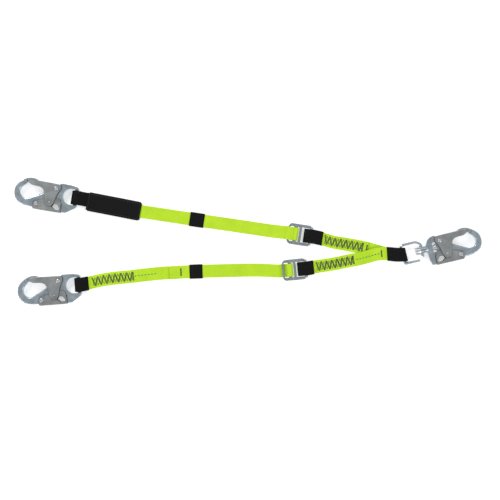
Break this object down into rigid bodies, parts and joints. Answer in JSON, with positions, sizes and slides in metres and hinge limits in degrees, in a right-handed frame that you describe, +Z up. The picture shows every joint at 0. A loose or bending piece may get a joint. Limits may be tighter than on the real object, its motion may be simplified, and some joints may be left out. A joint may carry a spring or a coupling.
{
  "type": "twin-leg adjustable web lanyard",
  "caption": "Twin-leg adjustable web positioning lanyard with double-locking snap hooks, friction adjusters, wear sleeves and a swivel tail hook.",
  "frame": {"origin": "centre of the bounding box's bottom face, on the floor that the lanyard lies on", "axes": "+X from the leg hooks towards the tail hook, +Y towards the leg with the label cover, +Z up off the floor"},
  "size_m": [0.9084, 0.249, 0.0198],
  "materials": {
    "webbing": "matte",
    "black_web": "matte",
    "plated_steel": "satin",
    "paper": "matte"
  },
  "bodies": {
    "yoke": {"yoke_strap": "webbing", "adjuster_sleeve_upper": "black_web", "adjuster_sleeve_lower": "black_web", "link_sleeve": "black_web"},
    "adjuster_upper": {"adjuster_frame_upper": "plated_steel"},
    "slider_upper": {"slide_bar_upper": "plated_steel", "strap_bend_upper": "webbing"},
    "leg_upper": {"leg_strap_upper": "webbing", "eye_sleeve_upper": "black_web", "label_cover": "black_web", "label_booklet": "paper", "cover_tape": "black_web"},
    "tail_upper": {"strap_tail_upper": "webbing", "strap_keeper_upper": "black_web"},
    "hook_upper": {"hook_body_upper": "plated_steel", "gate_rivet_upper": "plated_steel", "lock_rivet_upper": "plated_steel", "gate_spring_upper": "plated_steel", "lock_spring_upper": "plated_steel"},
    "gate_arm_upper": {"gate_upper": "plated_steel", "gate_pin_upper": "plated_steel"},
    "lock_arm_upper": {"lock_lever_upper": "plated_steel"},
    "adjuster_lower": {"adjuster_frame_lower": "plated_steel"},
    "slider_lower": {"slide_bar_lower": "plated_steel", "strap_bend_lower": "webbing"},
    "leg_lower": {"leg_strap_lower": "webbing", "eye_sleeve_lower": "black_web"},
    "tail_lower": {"strap_tail_lower": "webbing", "strap_keeper_lower": "black_web"},
    "hook_lower": {"hook_body_lower": "plated_steel", "gate_rivet_lower": "plated_steel", "lock_rivet_lower": "plated_steel", "gate_spring_lower": "plated_steel", "lock_spring_lower": "plated_steel"},
    "gate_arm_lower": {"gate_lower": "plated_steel", "gate_pin_lower": "plated_steel"},
    "lock_arm_lower": {"lock_lever_lower": "plated_steel"},
    "link": {"swivel_link": "plated_steel"},
    "hook_tail": {"hook_body_tail": "plated_steel", "gate_rivet_tail": "plated_steel", "lock_rivet_tail": "plated_steel", "gate_spring_tail": "plated_steel", "lock_spring_tail": "plated_steel", "swivel_pin": "plated_steel"},
    "gate_arm_tail": {"gate_tail": "plated_steel", "gate_pin_tail": "plated_steel"},
    "lock_arm_tail": {"lock_lever_tail": "plated_steel"}
  },
  "joints": [
    {"name": "adjuster_swing_upper", "type": "hinge", "parent": "yoke", "child": "adjuster_upper", "pos_m": [0.12233, 0.01041, 0.0081], "axis": [0.1478, 0.989, 0], "range_deg": [-60, 60]},
    {"name": "slide_bar_travel_upper", "type": "slide", "parent": "adjuster_upper", "child": "slider_upper", "axis": [0.989, -0.1478, 0], "range_m": [-0.003, 0.0008]},
    {"name": "leg_length_upper", "type": "slide", "parent": "slider_upper", "child": "leg_upper", "axis": [-0.989, 0.1478, 0], "range_m": [-0.02, 0.14], "deforming": ["leg_strap_upper"]},
    {"name": "tail_run_upper", "type": "slide", "parent": "slider_upper", "child": "tail_upper", "axis": [-0.989, 0.1478, 0], "range_m": [-0.14, 0.02], "deforming": ["strap_tail_upper"]},
    {"name": "hook_swing_upper", "type": "hinge", "parent": "leg_upper", "child": "hook_upper", "pos_m": [-0.33457, 0.08541, 0.0099], "axis": [0.165, 0.9863, 0], "range_deg": [-80, 80]},
    {"name": "gate_hinge_upper", "type": "hinge", "parent": "hook_upper", "child": "gate_arm_upper", "pos_m": [-0.37142, 0.10272, 0.0099], "axis": [0, 0, 1], "range_deg": [0, 24], "stiffness_Nm_per_rad": 0.05, "deforming": ["gate_spring_upper"]},
    {"name": "lock_hinge_upper", "type": "hinge", "parent": "hook_upper", "child": "lock_arm_upper", "pos_m": [-0.41154, 0.07385, 0.0099], "axis": [0, 0, 1], "range_deg": [0, 12], "stiffness_Nm_per_rad": 0.05, "deforming": ["lock_spring_upper"]},
    {"name": "adjuster_swing_lower", "type": "hinge", "parent": "yoke", "child": "adjuster_lower", "pos_m": [0.11263, -0.05229, 0.0086], "axis": [-0.0958, 0.9954, 0], "range_deg": [-60, 60]},
    {"name": "slide_bar_travel_lower", "type": "slide", "parent": "adjuster_lower", "child": "slider_lower", "axis": [0.9954, 0.0958, 0], "range_m": [-0.003, 0.0008]},
    {"name": "leg_length_lower", "type": "slide", "parent": "slider_lower", "child": "leg_lower", "axis": [-0.9954, -0.0958, 0], "range_m": [-0.02, 0.14], "deforming": ["leg_strap_lower"]},
    {"name": "tail_run_lower", "type": "slide", "parent": "slider_lower", "child": "tail_lower", "axis": [-0.9954, -0.0958, 0], "range_m": [-0.14, 0.02], "deforming": ["strap_tail_lower"]},
    {"name": "hook_swing_lower", "type": "hinge", "parent": "leg_lower", "child": "hook_lower", "pos_m": [-0.32837, -0.08409, 0.0099], "axis": [-0.0785, 0.9969, 0], "range_deg": [-80, 80]},
    {"name": "gate_hinge_lower", "type": "hinge", "parent": "hook_lower", "child": "gate_arm_lower", "pos_m": [-0.36832, -0.0762, 0.0099], "axis": [0, 0, 1], "range_deg": [0, 24], "stiffness_Nm_per_rad": 0.05, "deforming": ["gate_spring_lower"]},
    {"name": "lock_hinge_lower", "type": "hinge", "parent": "hook_lower", "child": "lock_arm_lower", "pos_m": [-0.40026, -0.11393, 0.0099], "axis": [0, 0, 1], "range_deg": [0, 12], "stiffness_Nm_per_rad": 0.05, "deforming": ["lock_spring_lower"]},
    {"name": "link_swing", "type": "hinge", "parent": "yoke", "child": "link", "pos_m": [0.30083, -0.02529, 0.01], "axis": [-0.2267, 0.974, 0], "range_deg": [-80, 80]},
    {"name": "hook_swivel_tail", "type": "hinge", "parent": "link", "child": "hook_tail", "pos_m": [0.33793, -0.01666, 0.0099], "axis": [0.974, 0.2267, 0], "continuous": true},
    {"name": "gate_hinge_tail", "type": "hinge", "parent": "hook_tail", "child": "gate_arm_tail", "pos_m": [0.37109, 0.00235, 0.0099], "axis": [0, 0, -1], "range_deg": [0, 24], "stiffness_Nm_per_rad": 0.05, "deforming": ["gate_spring_tail"]},
    {"name": "lock_hinge_tail", "type": "hinge", "parent": "hook_tail", "child": "lock_arm_tail", "pos_m": [0.41294, -0.02395, 0.0099], "axis": [0, 0, -1], "range_deg": [0, 12], "stiffness_Nm_per_rad": 0.05, "deforming": ["lock_spring_tail"]}
  ],
  "couplings": [
    {"joint": "tail_run_upper", "follows": "leg_length_upper", "ratio": -1},
    {"joint": "lock_hinge_upper", "follows": "gate_hinge_upper", "ratio": 0.5},
    {"joint": "tail_run_lower", "follows": "leg_length_lower", "ratio": -1},
    {"joint": "lock_hinge_lower", "follows": "gate_hinge_lower", "ratio": 0.5},
    {"joint": "lock_hinge_tail", "follows": "gate_hinge_tail", "ratio": 0.5}
  ]
}
